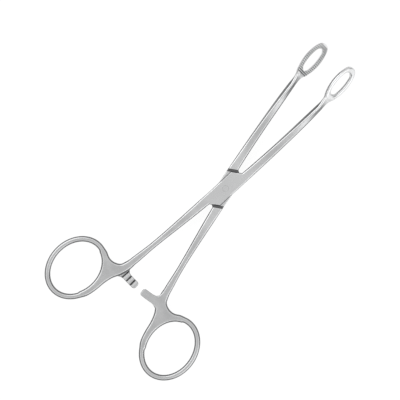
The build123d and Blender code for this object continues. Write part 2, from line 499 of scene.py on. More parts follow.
@dataclass(frozen=True)
class JawShank:
    """The jaw's shank, slightly bowed, turning into the plane of the jaw."""

    start: float = 7.8
    start_spread: float = 3.05
    level_end: float = 11.5
    end: float = 60.0
    end_spread: float = 8.75
    bow: float = 0.4
    root_width: float = 4.6
    neck_width: float = 2.95
    root_thick: float = 5.0
    neck_thick: float = 2.8
    thinning_power: float = 1.1
    turn: float = 45.0
    turn_power: int = 3
    slope_cosine: float = 0.995
    root_sink: float = 5.0
    root_corner: float = 0.65
    corner: float = 0.95
    corner_run: float = 9.0
    base: float = 67.85
    base_spread: float = 9.15
    base_width: float = 6.2
    base_thick: float = 1.0
    least_flat: float = 0.1

    def distance(self, x: np.ndarray, y: np.ndarray, z: np.ndarray) -> np.ndarray:
        """The distance to the shank's surface.

        Args:
            x: Places across.
            y: Places along.
            z: Places in height, from the middle.

        Returns:
            The signed distance at each place.
        """
        share = np.clip((y - self.start) / (self.end - self.start), -0.1, 1)
        flare = ramp(y, self.end, self.base - self.end)
        spread = self.start_spread + (self.end_spread - self.start_spread) * share
        spread = spread + self.bow * 4 * share * (1 - share)
        spread = spread + (self.base_spread - self.end_spread) * flare
        width = self.root_width + (self.neck_width - self.root_width) * share
        width = width + (self.base_width - self.neck_width) * flare ** 2
        thinned = ramp(y, self.level_end, self.end - self.level_end) ** self.thinning_power
        thick = self.root_thick + (self.neck_thick - self.root_thick) * thinned
        thick = thick + (self.base_thick - self.neck_thick) * flare
        turn = np.radians(self.turn * np.clip(share, 0, 1) ** self.turn_power)
        dx = (x - spread) * self.slope_cosine
        across = np.abs(dx * np.cos(turn) - z * np.sin(turn)) - width / 2
        height = np.abs(dx * np.sin(turn) + z * np.cos(turn)) - thick / 2
        corner = eased(self.root_corner, self.corner, (y - self.start) / self.corner_run)
        corner = np.minimum(corner, thick / 2 - self.least_flat / 2)
        bar = rounded(across, height, corner)
        return np.maximum(bar, np.maximum(self.start - self.root_sink - y, y - self.base))


@dataclass(frozen=True)
class OvalJaw:
    """The oval ring of the jaw, with a flat gripping face and a rounded back."""

    reach: float = 76.0
    spread: float = 9.15
    turn: float = 45.0
    length: float = 19.86
    width: float = 10.7
    side_radius: float = 17.7
    thick: float = 1.85
    hole_length: float = 13.7
    hole_width: float = 6.7
    hole_side_radius: float = 19.0
    rounding: float = 0.85
    grip_rounding: float = 0.12

    @staticmethod
    def oval(u: np.ndarray, v: np.ndarray, length: float, width: float, side: float) -> np.ndarray:
        """The distance to an oval of two large side arcs and two tangent end arcs.

        Args:
            u: Places across the oval.
            v: Places along it.
            length: Its length.
            width: Its width.
            side: Radius of its sides.

        Returns:
            The signed distance at each place.
        """
        a, b = width / 2, length / 2
        end = (2 * side * a - a * a - b * b) / (2 * (side - b))
        u, v = np.abs(u), np.abs(v)
        beside = (v * (side - a)) < ((u + side - a) * (b - end))
        by_side = np.hypot(u + side - a, v) - side
        by_end = np.hypot(u, v - (b - end)) - end
        return np.where(beside, by_side, by_end)

    def axes(self) -> tuple[Vector, Vector]:
        """The directions across the jaw's face and out of its back.

        Returns:
            The two directions, each one long.
        """
        turn = math.radians(self.turn)
        across = Vector((math.cos(turn), 0, -math.sin(turn)))
        return across, Vector((math.sin(turn), 0, math.cos(turn)))

    def turned(self, x: np.ndarray, y: np.ndarray, z: np.ndarray) -> tuple[np.ndarray, ...]:
        """Places across the jaw, along it and out of its back, from the half's own axes.

        Args:
            x: Places across.
            y: Places along.
            z: Places in height, from the middle.

        Returns:
            The three places of each point.
        """
        turn = math.radians(self.turn)
        dx = x - self.spread
        u = dx * math.cos(turn) - z * math.sin(turn)
        return u, y - self.reach, dx * math.sin(turn) + z * math.cos(turn)

    def band(self, u: np.ndarray, v: np.ndarray) -> np.ndarray:
        """The distance in the jaw's plane to its oval band.

        Args:
            u: Places across the jaw.
            v: Places along the jaw.

        Returns:
            The signed distance at each place.
        """
        outer = self.oval(u, v, self.length, self.width, self.side_radius)
        hole = self.oval(u, v, self.hole_length, self.hole_width, self.hole_side_radius)
        return np.maximum(outer, -hole)

    def distance(self, x: np.ndarray, y: np.ndarray, z: np.ndarray) -> np.ndarray:
        """The distance to the jaw's surface.

        Args:
            x: Places across.
            y: Places along.
            z: Places in height, from the middle.

        Returns:
            The signed distance at each place.
        """
        u, v, w = self.turned(x, y, z)
        back = rounded(self.band(u, v), w - self.thick / 2, self.rounding)
        return rounded(back, -w - self.thick / 2, self.grip_rounding)


Shape = FingerRing | HandleShank | Yoke | RatchetArm | BoxBlock | JawShank | OvalJaw


@dataclass
class SurfaceNet:
    """A mesh drawn round a shape on a grid that is finer where the shape is finer."""

    x: np.ndarray
    y: np.ndarray
    z: np.ndarray

    @staticmethod
    def pairs(values: np.ndarray, axis: int) -> tuple[np.ndarray, np.ndarray]:
        """Each value of the grid but the last ones along an axis, and the next along it.

        Args:
            values: A value for each point of the grid.
            axis: Number of the axis.

        Returns:
            The values, and the next ones.
        """
        low = [slice(None)] * 3
        high = [slice(None)] * 3
        low[axis], high[axis] = slice(None, -1), slice(1, None)
        return values[tuple(low)], values[tuple(high)]

    def points(self, far: np.ndarray) -> tuple[np.ndarray, np.ndarray]:
        """Puts a point in each cell of the grid that the surface goes through.

        Args:
            far: Distance at each point of the grid.

        Returns:
            The points, and the number of each cell's point, -1 where it has none.
        """
        shape = tuple(n - 1 for n in far.shape)
        total = np.zeros((*shape, 3), np.float32)
        count = np.zeros(shape, np.uint8)
        for axis in range(3):
            a, b = self.pairs(far, axis)
            crossing = (a < 0) != (b < 0)
            where = np.argwhere(crossing)
            share = (a[crossing] / (a[crossing] - b[crossing])).astype(np.float32)
            others = [i for i in range(3) if i != axis]
            for back in product((0, 1), repeat=2):
                cell = where.copy()
                cell[:, others] -= back
                ok = (cell >= 0).all(1) & (cell < shape).all(1)
                place = where[ok].astype(np.float32)
                place[:, axis] += share[ok]
                flat = np.ravel_multi_index(cell[ok].T, shape)
                np.add.at(count.reshape(-1), flat, 1)
                np.add.at(total.reshape(-1, 3), flat, place)
        used = np.flatnonzero(count)
        index = np.full(shape, -1, np.int64)
        index.reshape(-1)[used] = np.arange(len(used))
        place = total.reshape(-1, 3)[used] / count.reshape(-1)[used][:, None]
        lines = enumerate((self.x, self.y, self.z))
        mean = [np.interp(place[:, i], np.arange(len(line)), line) for i, line in lines]
        return np.stack(mean, 1), index

    def faces(self, inside: np.ndarray, index: np.ndarray) -> np.ndarray:
        """Puts a face across each edge of the grid that the surface cuts.

        Args:
            inside: Whether each point of the grid lies in the shape.
            index: The number of each cell's point.

        Returns:
            The four points of each face, in the order that makes it face outwards.
        """
        faces = []
        for axis in range(3):
            a, b = self.pairs(inside, axis)
            where = np.argwhere(a != b)
            leaving = a[a != b]
            others = [(axis + 1) % 3, (axis + 2) % 3]
            around = []
            for back in ((1, 1), (0, 1), (0, 0), (1, 0)):
                cell = where.copy()
                cell[:, others] -= back
                around.append(index[tuple(cell.T)])
            quad = np.stack(around, 1)
            quad[~leaving] = quad[~leaving][:, ::-1]
            faces.append(quad)
        return np.vstack(faces)

    def mesh(self, name: str, far: np.ndarray,
             settle: Callable[[np.ndarray], np.ndarray]) -> bpy.types.Mesh:
        """Draws the surface where the distance is nought.

        Args:
            name: Name of the new mesh.
            far: Distance at each point of the grid.
            settle: What moves points on to the exact surface.

        Returns:
            A mesh of four-sided faces, in metres.
        """
        verts, index = self.points(far)
        verts = settle(verts)
        quads = self.faces(far < 0, index)
        mesh = bpy.data.meshes.new(name)
        mesh.vertices.add(len(verts))
        mesh.vertices.foreach_set("co", (verts * MM).astype(np.float32).ravel())
        mesh.loops.add(quads.size)
        mesh.loops.foreach_set("vertex_index", quads.astype(np.int32).ravel())
        mesh.polygons.add(len(quads))
        mesh.polygons.foreach_set("loop_start", np.arange(0, quads.size, 4, dtype=np.int32))
        mesh.update(calc_edges=True)
        mesh.validate()
        return mesh


def grid_line(*spans: tuple[float, float, float]) -> np.ndarray:
    """The places of a grid along one axis.

    Args:
        spans: Start, end and step of each stretch, in order.

    Returns:
        The places, with each stretch divided evenly.
    """
    line = [np.array([spans[0][0]])]
    for start, end, step in spans:
        count = max(1, round((end - start) / step))
        line.append(np.linspace(start, end, count + 1)[1:])
    return np.concatenate(line)


# Finishes


def scaled(tree: bpy.types.NodeTree, value: bpy.types.NodeSocket, factor: float) -> bpy.types.NodeSocket:
    """A value of a material times a number.

    Args:
        tree: The material's nodes.
        value: The value.
        factor: The number.

    Returns:
        The product.
    """
    node = tree.nodes.new("ShaderNodeMath")
    node.operation = "MULTIPLY"
    node.inputs[1].default_value = factor
    tree.links.new(value, node.inputs[0])
    return node.outputs[0]


def marked(tree: bpy.types.NodeTree, mark: str) -> bpy.types.NodeSocket:
    """A mark on the piece, from 0 to 1.

    Args:
        tree: The material's nodes.
        mark: Name of the mark.

    Returns:
        The mark's value.
    """
    node = tree.nodes.new("ShaderNodeAttribute")
    node.attribute_name = mark
    return node.outputs["Fac"]


def layered(tree: bpy.types.NodeTree, under: bpy.types.NodeSocket, mark: str,
            colour: tuple[float, float, float], share: float) -> bpy.types.NodeSocket:
    """Lays a colour over another one where the piece is marked.

    Args:
        tree: The material's nodes.
        under: The colour below.
        mark: Name of the mark on the piece.
        colour: The colour above.
        share: How much of it shows where the mark is full.

    Returns:
        The mixed colour.
    """
    mix = tree.nodes.new("ShaderNodeMix")
    mix.data_type = "RGBA"
    mix.inputs["B"].default_value = (*colour, 1)
    tree.links.new(scaled(tree, marked(tree, mark), share), mix.inputs["Factor"])
    tree.links.new(under, mix.inputs["A"])
    return mix.outputs["Result"]


def noise(tree: bpy.types.NodeTree, scale: tuple[float, float, float],
          detail: float) -> bpy.types.NodeSocket:
    """A noise in the piece's own space.

    Args:
        tree: The material's nodes.
        scale: Grains in a metre along each axis.
        detail: How many finer layers it has.

    Returns:
        The noise's value.
    """
    coords = tree.nodes.new("ShaderNodeTexCoord")
    stretch = tree.nodes.new("ShaderNodeMapping")
    stretch.inputs["Scale"].default_value = scale
    tree.links.new(coords.outputs["Object"], stretch.inputs["Vector"])
    grains = tree.nodes.new("ShaderNodeTexNoise")
    grains.inputs["Scale"].default_value = 1.0
    grains.inputs["Detail"].default_value = detail
    tree.links.new(stretch.outputs["Vector"], grains.inputs["Vector"])
    return grains.outputs["Fac"]


def ranged(tree: bpy.types.NodeTree, value: bpy.types.NodeSocket, middle: float,
           swing: float) -> bpy.types.NodeSocket:
    """A noise's value, brought about another one.

    Args:
        tree: The material's nodes.
        value: The noise.
        middle: What an even noise becomes.
        swing: How far a low or a high noise goes from there.

    Returns:
        The new value.
    """
    remap = tree.nodes.new("ShaderNodeMapRange")
    remap.inputs["From Min"].default_value = 0.3
    remap.inputs["From Max"].default_value = 0.7
    remap.inputs["To Min"].default_value = middle - swing
    remap.inputs["To Max"].default_value = middle + swing
    tree.links.new(value, remap.inputs["Value"])
    return remap.outputs["Result"]


@dataclass(frozen=True)
class SatinSteel:
    """Satin ground stainless steel, lighter at rubbed edges with painted sheen, with painted shade on its
    flanks and in its recesses.
    """

    name: str = "satin_steel"
    colour: tuple[float, float, float] = (0.70, 0.705, 0.71)
    wear_and_sheen_colour: tuple[float, float, float] = (0.86, 0.865, 0.87)
    wear_and_sheen_share: float = 0.9
    flank_shade_colour: tuple[float, float, float] = (0.14, 0.142, 0.145)
    flank_shade_share: float = 0.85
    recess_shade_colour: tuple[float, float, float] = (0.07, 0.07, 0.073)
    recess_shade_share: float = 0.85
    cut_shade_share: float = 0.3
    roughness: float = 0.36
    edge_roughness: float = 0.24
    cloud_size: float = 0.007
    cloud_depth: float = 0.09
    cloud_detail: float = 3.0
    brushed: tuple[float, float, float] = (9000, 900, 9000)
    grain: float = 0.05
    grain_detail: float = 2.0
    grain_bump: float = 0.06
    grain_height: float = 0.00005

    def coloured(self, tree: bpy.types.NodeTree) -> bpy.types.NodeSocket:
        """The steel's colour, clouded, lightened by wear and painted sheen, and darkened by painted shade
        where the piece is marked.

        Args:
            tree: The material's nodes.

        Returns:
            The colour.
        """
        cloud = noise(tree, (1 / self.cloud_size,) * 3, self.cloud_detail)
        steel = tree.nodes.new("ShaderNodeMix")
        steel.data_type = "RGBA"
        steel.blend_type = "MULTIPLY"
        steel.inputs["Factor"].default_value = 1.0
        steel.inputs["A"].default_value = (*self.colour, 1)
        tree.links.new(ranged(tree, cloud, 1, self.cloud_depth), steel.inputs["B"])
        # Wear with painted sheen lightens; painted shade darkens the flanks, the cut faces and the recesses.
        layers = (
            ("wear_and_sheen", self.wear_and_sheen_colour, self.wear_and_sheen_share),
            ("flank_shade", self.flank_shade_colour, self.flank_shade_share),
            ("cut_shade", self.recess_shade_colour, self.cut_shade_share),
            ("recess_shade", self.recess_shade_colour, self.recess_shade_share),
        )
        colour = steel.outputs["Result"]
        for mark, above, share in layers:
            colour = layered(tree, colour, mark, above, share)
        return colour

    def material(self) -> bpy.types.Material:
        """Builds the finish.

        Returns:
            The new material.
        """
        mat = bpy.data.materials.new(self.name)
        mat.use_nodes = True
        tree = mat.node_tree
        nodes, links = tree.nodes, tree.links
        shader = nodes["Principled BSDF"]
        shader.inputs["Metallic"].default_value = 1.0
        links.new(self.coloured(tree), shader.inputs["Base Color"])
        grain = noise(tree, self.brushed, self.grain_detail)
        polish = nodes.new("ShaderNodeMix")
        polish.data_type = "FLOAT"
        polish.inputs["B"].default_value = self.edge_roughness
        links.new(ranged(tree, grain, self.roughness, self.grain), polish.inputs["A"])
        links.new(marked(tree, "wear_and_sheen"), polish.inputs["Factor"])
        links.new(polish.outputs["Result"], shader.inputs["Roughness"])
        bump = nodes.new("ShaderNodeBump")
        bump.inputs["Strength"].default_value = self.grain_bump
        bump.inputs["Distance"].default_value = self.grain_height
        links.new(grain, bump.inputs["Height"])
        links.new(bump.outputs["Normal"], shader.inputs["Normal"])
        return mat


@dataclass(frozen=True)
class WhitePaper:
    """The table's paper, which shows white to the camera and less bright in the steel."""

    name: str = "white_paper"
    colour: tuple[float, float, float] = (0.92, 0.92, 0.92)
    roughness: float = 0.9
    lift: float = 0.8
    white: float = 1.12
    mirrored: float = 0.5

    def material(self) -> bpy.types.Material:
        """Builds the finish.

        Returns:
            The new material.
        """
        mat = bpy.data.materials.new(self.name)
        mat.use_nodes = True
        tree = mat.node_tree
        nodes, links = tree.nodes, tree.links
        shader = nodes["Principled BSDF"]
        shader.inputs["Base Color"].default_value = (*self.colour, 1)
        shader.inputs["Roughness"].default_value = self.roughness
        glow = nodes.new("ShaderNodeEmission")
        glow.inputs["Color"].default_value = (1, 1, 1, 1)
        glow.inputs["Strength"].default_value = self.white
        path = nodes.new("ShaderNodeLightPath")
        seen = nodes.new("ShaderNodeMath")
        seen.operation = "MAXIMUM"
        links.new(path.outputs["Is Camera Ray"], seen.inputs[0])
        links.new(scaled(tree, path.outputs["Is Glossy Ray"], self.mirrored), seen.inputs[1])
        mix = nodes.new("ShaderNodeMixShader")
        links.new(scaled(tree, seen.outputs[0], self.lift), mix.inputs["Fac"])
        links.new(shader.outputs["BSDF"], mix.inputs[1])
        links.new(glow.outputs["Emission"], mix.inputs[2])
        links.new(mix.outputs["Shader"], nodes["Material Output"].inputs["Surface"])
        return mat


# Repeated cuts


def added(name: str, data: bpy.types.ID) -> bpy.types.Object:
    """A new object in the scene.

    Args:
        name: Name of the object.
        data: Its mesh, lamp or camera.

    Returns:
        The new object.
    """
    thing = bpy.data.objects.new(name, data)
    bpy.context.scene.collection.objects.link(thing)
    return thing


def to_frame(side: int) -> Matrix:
    """The move from a half's own axes to the frame, turned over where the side is -1."""
    raised = Matrix.Translation((0, 0, MID * MM))
    return raised if side > 0 else raised @ Matrix.Rotation(math.pi, 4, "Y")


def wedge(name: str, section: list[tuple[float, float]], length: float, place: Matrix) -> bpy.types.Object:
    """A straight bar of a given section, for cutting.

    Args:
        name: Name of the bar.
        section: Corners of its section, in order.
        length: Its length.
        place: Where it lies, from its own axes to the frame, in metres.

    Returns:
        The new object, with its place in its mesh.
    """
    count = len(section)
    verts = [(x * MM, side * length / 2 * MM, z * MM) for side in (-1, 1) for x, z in section]
    faces = [tuple(range(count)), tuple(range(2 * count - 1, count - 1, -1))]
    faces += [(i, i + count, (i + 1) % count + count, (i + 1) % count) for i in range(count)]
    mesh = bpy.data.meshes.new(name)
    mesh.from_pydata(verts, [], faces)
    mesh.transform(place)
    shape = bmesh.new()
    shape.from_mesh(mesh)
    bmesh.ops.recalc_face_normals(shape, faces=shape.faces)
    shape.to_mesh(mesh)
    shape.free()
    return added(name, mesh)


@dataclass(frozen=True)
class CutRow:
    """A row of like cuts, each a step or a turn about the pin on from the one before."""

    name: str
    count: int
    step: tuple[float, float, float] = (0, 0, 0)
    turn: float = 0.0

    INPUTS = (
        ("Forging", "NodeSocketGeometry"),
        ("Cutter", "NodeSocketObject"),
        ("Count", "NodeSocketInt"),
        ("Step", "NodeSocketVector"),
        ("Turn", "NodeSocketFloat"),
        ("Finish", "NodeSocketMaterial"),
    )

    def tree(self) -> bpy.types.NodeTree:
        """Builds the node tree that repeats the cutter and cuts with it.

        Returns:
            The new tree.
        """
        tree = bpy.data.node_groups.new(self.name, "GeometryNodeTree")
        for label, kind in self.INPUTS:
            tree.interface.new_socket(label, in_out="INPUT", socket_type=kind)
        tree.interface.new_socket("Forging", in_out="OUTPUT", socket_type="NodeSocketGeometry")
        nodes, links = tree.nodes, tree.links
        given = nodes.new("NodeGroupInput")
        row = nodes.new("GeometryNodeMeshLine")
        links.new(given.outputs["Count"], row.inputs["Count"])
        links.new(given.outputs["Step"], row.inputs["Offset"])
        info = nodes.new("GeometryNodeObjectInfo")
        links.new(given.outputs["Cutter"], info.inputs["Object"])
        number = nodes.new("GeometryNodeInputIndex")
        angle = nodes.new("ShaderNodeMath")
        angle.operation = "MULTIPLY"
        links.new(number.outputs[0], angle.inputs[0])
        links.new(given.outputs["Turn"], angle.inputs[1])
        spin = nodes.new("ShaderNodeCombineXYZ")
        links.new(angle.outputs[0], spin.inputs["Z"])
        copies = nodes.new("GeometryNodeInstanceOnPoints")
        links.new(row.outputs["Mesh"], copies.inputs["Points"])
        links.new(info.outputs["Geometry"], copies.inputs["Instance"])
        links.new(spin.outputs[0], copies.inputs["Rotation"])
        solid = nodes.new("GeometryNodeRealizeInstances")
        links.new(copies.outputs[0], solid.inputs[0])
        cutting = nodes.new("GeometryNodeMeshBoolean")
        cutting.operation = "DIFFERENCE"
        cutting.solver = "MANIFOLD"
        links.new(given.outputs["Forging"], cutting.inputs["Mesh 1"])
        links.new(solid.outputs[0], cutting.inputs["Mesh 2"])
        whole = nodes.new("GeometryNodeRealizeInstances")
        links.new(cutting.outputs["Mesh"], whole.inputs[0])
        finish = nodes.new("GeometryNodeSetMaterial")
        links.new(whole.outputs[0], finish.inputs["Geometry"])
        links.new(given.outputs["Finish"], finish.inputs["Material"])
        result = nodes.new("NodeGroupOutput")
        links.new(finish.outputs[0], result.inputs[0])
        return tree

    def apply(self, piece: bpy.types.Object, cutter: bpy.types.Object, finish: bpy.types.Material) -> None:
        """Cuts the row into a piece.

        Args:
            piece: What is cut.
            cutter: The first cut's shape, which is used up.
            finish: The material of the piece.
        """
        tree = self.tree()
        modifier = piece.modifiers.new(self.name, "NODES")
        modifier.node_group = tree
        sockets = {i.name: i.identifier for i in tree.interface.items_tree if i.in_out == "INPUT"}
        modifier[sockets["Cutter"]] = cutter
        modifier[sockets["Count"]] = self.count
        modifier[sockets["Step"]] = [v * MM for v in self.step]
        modifier[sockets["Turn"]] = math.radians(self.turn)
        modifier[sockets["Finish"]] = finish
        graph = bpy.context.evaluated_depsgraph_get()
        uncut, plain = len(piece.data.vertices), piece.data
        piece.data = bpy.data.meshes.new_from_object(piece.evaluated_get(graph))
        piece.modifiers.remove(modifier)
        bpy.data.meshes.remove(plain)
        bpy.data.objects.remove(cutter)
        log.info("%s: %d points became %d", self.name, uncut, len(piece.data.vertices))


@dataclass(frozen=True)
class RatchetTeeth:
    """The saw teeth on the ratchet arm, each with a steep front and a sloping back."""

    arm: RatchetArm
    depth: float = 0.75
    back: float = 0.95
    lean: float = 0.06
    above: float = 0.4
    reach: float = 2.2

    def cut(self, piece: bpy.types.Object, side: int, finish: bpy.types.Material) -> None:
        """Cuts the teeth into a half.

        Args:
            piece: The half, in the frame.
            side: 1 for the half with the lower arm, -1 for the one turned over.
            finish: The material of the half.
        """
        section = [
            (self.lean, self.above), (0, -self.depth), (-self.back, 0), (-self.back, self.above),
        ]
        place = Matrix.Rotation(math.radians(-self.arm.first_angle), 4, "Z")
        place = place @ Matrix.Translation((0, -self.arm.radius * MM, -self.arm.gap / 2 * MM))
        length = self.reach * self.arm.width
        cutter = wedge("tooth_cutter", section, length, to_frame(side) @ place)
        row = CutRow("ratchet_teeth", self.arm.humps, turn=-self.arm.pitch_angle * side)
        row.apply(piece, cutter, finish)


@dataclass(frozen=True)
class GripGrooves:
    """The grooves across the gripping face of a jaw, each with two like slopes."""

    jaw: OvalJaw
    pitch: float = 1.0
    depth: float = 0.3
    slope: float = 0.65
    lip: float = 0.2
    reach: float = 1.4
    margin: float = 1.4

    def count(self) -> int:
        """How many grooves there are."""
        return int((self.jaw.length - 2 * self.margin) / self.pitch) + 1

    def cut(self, piece: bpy.types.Object, side: int, finish: bpy.types.Material) -> None:
        """Cuts the grooves into a half.

        Args:
            piece: The half, in the frame.
            side: 1 for the half with its jaw on the right, -1 for the one turned over.
            finish: The material of the half.
        """
        jaw = self.jaw
        count = self.count()
        across, out = jaw.axes()
        first = Vector((jaw.spread, jaw.reach - (count - 1) / 2 * self.pitch, 0))
        grip = (first - out * (jaw.thick / 2)) * MM
        axes = Matrix((Vector((0, 1, 0)), across, out)).transposed().to_4x4()
        place = Matrix.Translation(grip) @ axes
        half = self.slope * self.depth
        section = [(-half - self.lip, -self.lip), (half + self.lip, -self.lip), (0, self.depth)]
        cutter = wedge("groove_cutter", section, self.reach * jaw.width, to_frame(side) @ place)
        row = CutRow("grip_grooves", count, step=(0, self.pitch, 0))
        row.apply(piece, cutter, finish)


@dataclass(frozen=True)
class PinHole:
    """The hole for the joint pin."""

    diameter: float = 3.0
    clearance: float = 0.0
    reach: float = 20.0
    sides: int = 72

    def cut(self, piece: bpy.types.Object, finish: bpy.types.Material) -> None:
        """Cuts the hole into a half.

        Args:
            piece: The half, in the frame.
            finish: The material of the half.
        """
        radius = self.diameter / 2 + self.clearance
        turns = [2 * math.pi * i / self.sides for i in range(self.sides)]
        section = [(radius * math.cos(t), radius * math.sin(t)) for t in turns]
        upright = to_frame(1) @ Matrix.Rotation(math.pi / 2, 4, "X")
        cutter = wedge("pin_cutter", section, self.reach, upright)
        CutRow("pin_hole", 1).apply(piece, cutter, finish)


# The halves, their marks and the studio


@dataclass(frozen=True)
class ForcepsHalf:
    """One half of the instrument, forged in one piece from finger ring to jaw."""

    half: Half
    ring: FingerRing = FingerRing()
    handle: HandleShank = HandleShank()
    box: BoxBlock = BoxBlock()
    jaw_shank: JawShank = JawShank()
    jaw: OvalJaw = OvalJaw()
    close_angle: float = 10.2
    web_thick: float = 2.0
    web_clearance: float = 0.06
    web_corner: float = 0.3
    slot_end_clearance: float = 0.15
    shoulder_gap: float = 1.1
    pin_clearance: float = 0.04
    lock_reach: float = 16.0
    seam: float = 0.005
    arm_seam: float = 0.03
    jaw_fillet: float = 1.3
    empty: float = 9.0

    # The grid's stretches along each axis: start, end and step.
    ACROSS = ((-45.6, -15.0, 0.29), (-15.0, -8.0, 0.23), (-8.0, 14.4, 0.18))
    ALONG = (
        (-95.4, -70.0, 0.28), (-70.0, -58.0, 0.21), (-58.0, -14.0, 0.52),
        (-14.0, 14.0, 0.21), (14.0, 62.0, 0.52), (62.0, 86.6, 0.19),
    )
    UPWARDS = ((-4.6, -2.0, 0.17), (-2.0, 2.0, 0.15), (2.0, 4.6, 0.17))

    def name(self) -> str:
        """The piece's name."""
        return f"{self.half.value}_half_forging"

    def side(self) -> int:
        """1 for the half as forged, -1 for the one turned over."""
        return 1 if self.half is Half.FEMALE else -1

    def flip(self) -> tuple[int, int, int]:
        """The signs that the frame's axes have in the half's own."""
        return (1, 1, 1) if self.half is Half.FEMALE else (-1, 1, -1)

    def own_places(self, places: np.ndarray) -> np.ndarray:
        """Places in the half's own axes in millimetres, from the frame's in metres."""
        return (places.astype(float) / MM - (0, 0, MID)) * self.flip()

    def arm(self) -> RatchetArm:
        """The half's ratchet arm."""
        return RatchetArm(Yoke(self.ring, self.handle), self.handle)

    def shapes(self) -> list[tuple[Shape, tuple[float, float, float, float], float]]:
        """The blank's shapes, in the order in which they join.

        Returns:
            Each shape, the stretch that it fills, from its lowest and highest place along to
            its lowest and highest place across, and the width of its fillet.
        """
        arm = self.arm()
        return [
            (self.ring, (-96, -59, -46, -14), self.seam),
            (arm.yoke, (-90, -54, -31, -6), self.seam),
            (self.handle, (-61.5, -2, -16, 3), self.seam),
            (arm, (-72, -57, -18, 0), self.arm_seam),
            (self.jaw_shank, (2, 70, -3, 15), self.seam),
            (self.jaw, (62, 87, 0, 15), self.jaw_fillet),
            (self.box, (-15, 15, -8, 8), self.seam),
        ]

    def past_cheeks(self, x: np.ndarray, y: np.ndarray, turned: float = 0.0) -> np.ndarray:
        """How far past the cheeks' slanting ends a place lies.

        Args:
            x: Places across.
            y: Places along.
            turned: Angle in degrees by which the ends are turned.

        Returns:
            The distance in the plan, negative between the two ends.
        """
        turn = math.radians(90 - self.box.slant() + self.box.lean - turned)
        return np.abs(x * math.cos(turn) + y * math.sin(turn)) - self.box.end_distance()

    def slot(self, x: np.ndarray, y: np.ndarray, z: np.ndarray, here: np.ndarray) -> np.ndarray:
        """Cuts the slot or thins the web.

        Args:
            x: Places across.
            y: Places along.
            z: Places in height, from the middle.
            here: Distance to the blank at those places.

        Returns:
            The distance to what is left.
        """
        if self.half is Half.FEMALE:
            along = self.past_cheeks(x, y, self.close_angle) - self.slot_end_clearance
            slot = np.maximum(along, np.abs(z) - self.web_thick / 2 - self.web_clearance)
            return np.maximum(here, -slot)
        along = self.past_cheeks(x, y) - self.shoulder_gap
        return cut(here, np.maximum(along, self.web_thick / 2 - np.abs(z)), self.web_corner)

    def on_grid(self, net: SurfaceNet) -> np.ndarray:
        """The distance to the half at each point of a grid.

        Args:
            net: The grid.

        Returns:
            The distance at each of the grid's points.
        """
        x, y, z = net.x[:, None, None], net.y[None, :, None], net.z[None, None, :]
        far = np.full((len(net.x), len(net.y), len(net.z)), self.empty, np.float32)
        for shape, (low, high, left, right), width in self.shapes():
            xs = slice(*np.searchsorted(net.x, (left, right)))
            ys = slice(*np.searchsorted(net.y, (low, high)))
            far[xs, ys] = blended(far[xs, ys], shape.distance(x[xs], y[:, ys], z), width)
        ys = slice(*np.searchsorted(net.y, (-self.lock_reach, self.lock_reach)))
        far[:, ys] = self.slot(x, y[:, ys], z, far[:, ys])
        return far

    def at(self, places: np.ndarray) -> np.ndarray:
        """The distance to the half at loose points, one row each.

        Args:
            places: The points, in the half's own axes.

        Returns:
            The distance at each of the points.
        """
        x, y, z = places.T
        far = np.full(len(places), self.empty)
        for shape, (low, high, left, right), width in self.shapes():
            here = (y > low) & (y < high) & (x > left) & (x < right)
            near = shape.distance(x[here], y[here], z[here])
            far[here] = blended(far[here], near, width)
        here = np.abs(y) < self.lock_reach
        far[here] = self.slot(x[here], y[here], z[here], far[here])
        return far

    def settle(self, places: np.ndarray) -> np.ndarray:
        """Moves points on to the surface.

        Args:
            places: Points near the surface.

        Returns:
            The points on the surface.
        """
        small = 0.01
        rounds = 3
        least_steep = 0.3
        longest = 0.06
        for _ in range(rounds):
            off = self.at(places)
            slope = np.stack([
                (self.at(places + small * axis) - off) / small for axis in np.eye(3)
            ], 1)
            steep = np.maximum((slope ** 2).sum(1), least_steep)
            move = slope * (off / steep)[:, None]
            size = np.linalg.norm(move, axis=1, keepdims=True)
            places = places - move * np.minimum(1, longest / np.maximum(size, TINY))
        return places

    def build(self) -> bpy.types.Object:
        """Draws the half's mesh and turns it over where it is the other one.

        Returns:
            The new piece, in the frame.
        """
        net = SurfaceNet(*(grid_line(*spans) for spans in (self.ACROSS, self.ALONG, self.UPWARDS)))
        mesh = net.mesh(self.name(), self.on_grid(net), self.settle)
        if self.half is Half.MALE:
            mesh.transform(Matrix.Rotation(math.pi, 4, "Y"))
        mesh.transform(Matrix.Translation((0, 0, MID * MM)))
        return added(self.name(), mesh)

    def make(self, finish: bpy.types.Material) -> bpy.types.Object:
        """Builds, dresses and places the half.

        Args:
            finish: The steel's material.

        Returns:
            The finished piece.
        """
        piece = self.build()
        piece.data.materials.append(finish)
        RatchetTeeth(self.arm()).cut(piece, self.side(), finish)
        GripGrooves(self.jaw).cut(piece, self.side(), finish)
        clearance = 0.0 if self.half is Half.FEMALE else self.pin_clearance
        PinHole(clearance=clearance).cut(piece, finish)
        SteelMarks(self).write(piece.data)
        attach(piece, f"{self.half.value}_body")
        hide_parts(f"{self.half.value}_half")
        return piece


def vectors(items: bpy.types.bpy_prop_collection, name: str) -> np.ndarray:
    """A vector of each point or face of a mesh, one row each.

    Args:
        items: The mesh's points, faces or corners.
        name: What is read of each.

    Returns:
        The vectors.
    """
    values = np.empty(len(items) * 3, np.float32)
    items.foreach_get(name, values)
    return values.reshape(-1, 3)


def numbers(items: bpy.types.bpy_prop_collection, name: str) -> np.ndarray:
    """A whole number of each part of a mesh.

    Args:
        items: The mesh's points, faces or corners.
        name: What is read of each.

    Returns:
        The numbers.
    """
    values = np.empty(len(items), np.int32)
    items.foreach_get(name, values)
    return values


def write_mark(mesh: bpy.types.Mesh, name: str, domain: str, values: np.ndarray) -> None:
    """Writes one number for each point or face of a mesh."""
    target = mesh.attributes.new(name, "FLOAT", domain)
    target.data.foreach_set("value", values.astype(np.float32))


